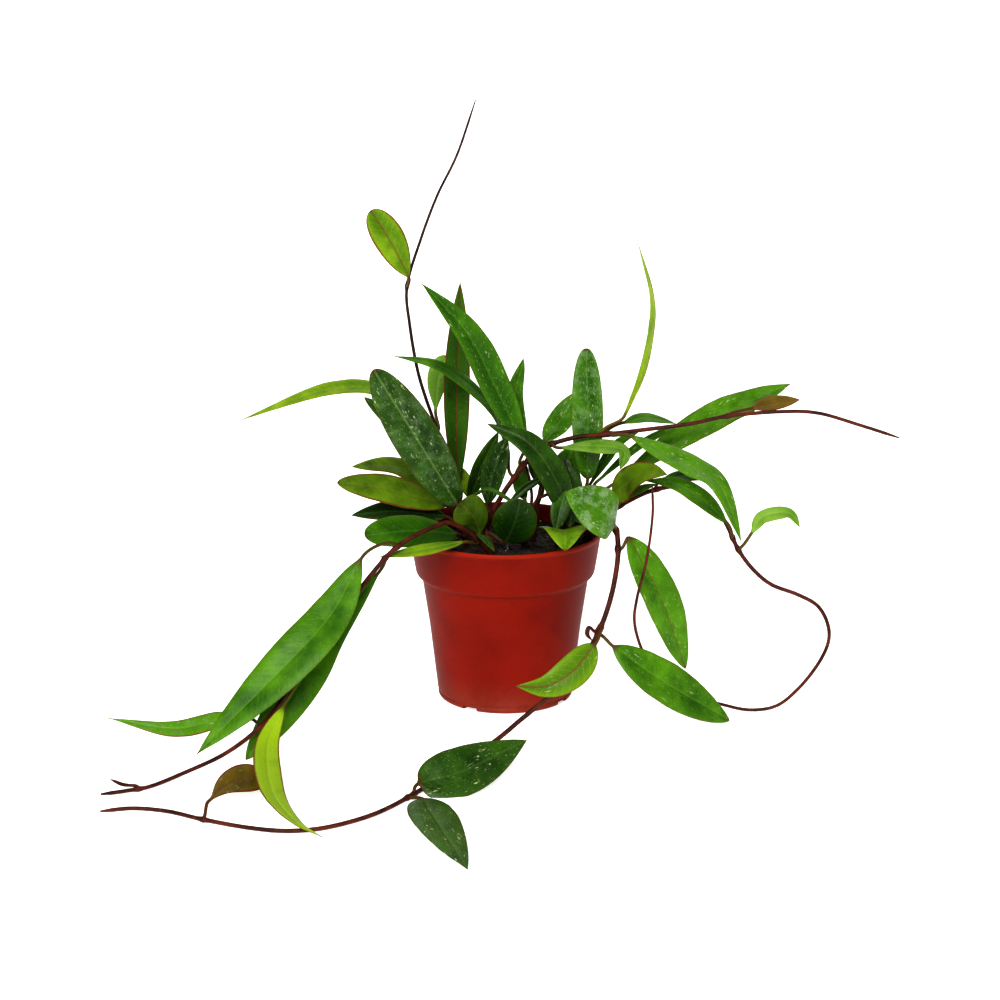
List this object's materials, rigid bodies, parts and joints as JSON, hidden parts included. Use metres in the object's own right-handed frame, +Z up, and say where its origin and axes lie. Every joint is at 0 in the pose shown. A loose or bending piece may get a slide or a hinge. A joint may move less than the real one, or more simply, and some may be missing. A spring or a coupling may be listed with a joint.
{
  "type": "potted hoya plant",
  "caption": "Trailing wax plant with thick folded leaves on woody stems, rooted in dark mix in a tapered plastic nursery pot with a deep collar",
  "frame": {"origin": "centre of the pot's flat base pad, on the surface it stands on", "axes": "+Z up along the pot's axis, -Y toward the front where one stem trails over the rim, +X to the right"},
  "size_m": [0.4294, 0.3105, 0.3362],
  "materials": {
    "pot_plastic": "terracotta red moulded plastic, fine grain, slight sheen",
    "potting_mix": "loose dark peat mix with a few pale grains, fully rough",
    "stem_bark": "thin red-brown bark, smooth to lightly ridged",
    "leaf_dark": "thick waxy dark green leaf with silver flecks",
    "leaf_mid": "thick waxy mid green leaf with silver flecks",
    "leaf_young": "young waxy yellow-green leaf with a red-brown margin",
    "leaf_bronze": "waxy bronze green leaf with a dark red margin",
    "leaf_pale": "pale waxy green leaf, the duller underside showing"
  },
  "bodies": {
    "root": {"pot": "pot_plastic", "potting_mix": "potting_mix", "vine_upright": "stem_bark", "vine_right": "stem_bark", "vine_left": "stem_bark", "vine_front": "stem_bark", "vine_loop": "stem_bark", "cutting_left": "stem_bark", "cutting_front": "stem_bark", "cutting_back_left": "stem_bark", "cutting_centre": "stem_bark", "cutting_right": "stem_bark", "leaf_upright_1": "leaf_pale", "leaf_upright_2": "leaf_young", "leaf_right_1": "leaf_dark", "leaf_right_2": "leaf_mid", "leaf_right_3": "leaf_mid", "leaf_right_4": "leaf_mid", "leaf_right_5": "leaf_mid", "leaf_right_6": "leaf_pale", "leaf_right_7": "leaf_young", "leaf_right_8": "leaf_mid", "leaf_right_9": "leaf_mid", "leaf_right_10": "leaf_bronze", "leaf_left_1": "leaf_young", "leaf_left_2": "leaf_mid", "leaf_left_3": "leaf_mid", "leaf_left_4": "leaf_young", "leaf_left_5": "leaf_mid", "leaf_front_1": "leaf_mid", "leaf_front_2": "leaf_mid", "leaf_front_3": "leaf_young", "leaf_front_4": "leaf_mid", "leaf_front_5": "leaf_dark", "leaf_front_6": "leaf_dark", "leaf_front_7": "leaf_bronze", "leaf_loop_1": "leaf_mid", "leaf_loop_2": "leaf_mid", "leaf_loop_3": "leaf_mid", "leaf_loop_4": "leaf_pale", "leaf_bushy_1": "leaf_mid", "leaf_bushy_2": "leaf_dark", "leaf_bushy_3": "leaf_mid", "leaf_bushy_4": "leaf_mid", "leaf_bushy_5": "leaf_dark", "leaf_bushy_6": "leaf_young", "leaf_bushy_7": "leaf_dark", "leaf_bushy_8": "leaf_dark", "leaf_bushy_9": "leaf_dark", "leaf_bushy_10": "leaf_dark", "leaf_bushy_11": "leaf_dark", "leaf_bushy_12": "leaf_young", "leaf_bushy_13": "leaf_dark", "leaf_bushy_14": "leaf_dark", "leaf_bushy_15": "leaf_dark", "leaf_bushy_16": "leaf_mid", "leaf_bushy_17": "leaf_mid", "leaf_bushy_18": "leaf_mid", "leaf_bushy_19": "leaf_mid"}
  },
  "joints": []
}
